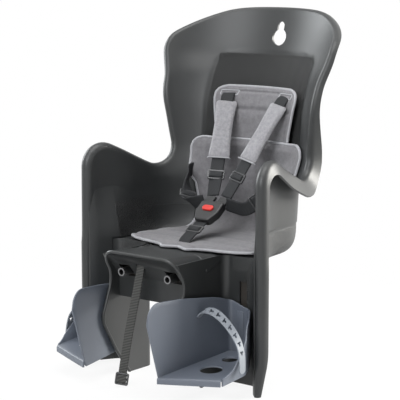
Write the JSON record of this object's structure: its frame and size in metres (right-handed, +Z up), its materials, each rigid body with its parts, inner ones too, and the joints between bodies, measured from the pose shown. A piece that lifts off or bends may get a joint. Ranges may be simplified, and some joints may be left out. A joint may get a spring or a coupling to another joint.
{
  "type": "child bike seat",
  "caption": "Rear child bike seat: moulded shell with arm wings and leg guards, felt pad, harness with buckle, height-adjustable footrests and sockets for a carrying bow.",
  "frame": {"origin": "midway between the two bow sockets, at their mouths", "axes": "+X to the child's left, -Y to the front of the seat and out of the sockets, +Z up"},
  "size_m": [0.4288, 0.5213, 0.65],
  "materials": {
    "shell_plastic": "moulded, satin",
    "pad_felt": "felt with a light piping",
    "shoulder_felt": "mottled felt",
    "webbing": "woven",
    "slide_plastic": "moulded, semi-gloss",
    "buckle_plastic": "moulded, semi-gloss",
    "button_red": "moulded red",
    "anchor_plastic": "moulded",
    "mount_plastic": "moulded",
    "sleeve_steel": "bright",
    "screw_steel": "zinc plated",
    "footrest_plastic": "moulded, satin",
    "foot_strap_rubber": "moulded"
  },
  "bodies": {
    "seat": {"bow_clamp_bolts": "screw_steel", "buckle_body": "buckle_plastic", "crotch_anchor": "anchor_plastic", "crotch_slide": "slide_plastic", "crotch_strap": "webbing", "left_bow_sleeve": "sleeve_steel", "left_buckle_tongue": "buckle_plastic", "left_shoulder_anchor": "anchor_plastic", "left_shoulder_pad": "shoulder_felt", "left_shoulder_slide": "slide_plastic", "left_shoulder_strap": "webbing", "left_waist_anchor": "anchor_plastic", "left_waist_slide": "slide_plastic", "left_waist_strap": "webbing", "mount_block": "mount_plastic", "mount_screws": "screw_steel", "right_bow_sleeve": "sleeve_steel", "right_buckle_tongue": "buckle_plastic", "right_shoulder_anchor": "anchor_plastic", "right_shoulder_pad": "shoulder_felt", "right_shoulder_slide": "slide_plastic", "right_shoulder_strap": "webbing", "right_waist_anchor": "anchor_plastic", "right_waist_slide": "slide_plastic", "right_waist_strap": "webbing", "safety_strap": "webbing", "safety_strap_slide": "slide_plastic", "seat_pad": "pad_felt", "seat_shell": "shell_plastic"},
    "buckle_button": {"buckle_button": "button_red"},
    "left_footrest": {"left_footrest": "footrest_plastic", "left_footrest_slider": "mount_plastic", "left_footrest_screw": "screw_steel", "left_foot_strap": "foot_strap_rubber"},
    "left_release": {"left_release_button": "button_red"},
    "right_footrest": {"right_footrest": "footrest_plastic", "right_footrest_slider": "mount_plastic", "right_footrest_screw": "screw_steel", "right_foot_strap": "foot_strap_rubber"},
    "right_release": {"right_release_button": "button_red"}
  },
  "joints": [
    {"name": "buckle_press", "type": "slide", "parent": "seat", "child": "buckle_button", "axis": [0, 0.6051, -0.7961], "range_m": [0, 0.0025], "stiffness_N_per_m": 1500, "springref_m": -0.002},
    {"name": "left_footrest_slide", "type": "slide", "parent": "seat", "child": "left_footrest", "axis": [0, 0, 1], "range_m": [-0.03, 0.02]},
    {"name": "left_release_press", "type": "slide", "parent": "left_footrest", "child": "left_release", "axis": [-1, 0, 0], "range_m": [0, 0.004], "stiffness_N_per_m": 600, "springref_m": -0.003},
    {"name": "right_footrest_slide", "type": "slide", "parent": "seat", "child": "right_footrest", "axis": [0, 0, 1], "range_m": [-0.03, 0.02]},
    {"name": "right_release_press", "type": "slide", "parent": "right_footrest", "child": "right_release", "axis": [1, 0, 0], "range_m": [0, 0.004], "stiffness_N_per_m": 600, "springref_m": -0.003}
  ]
}
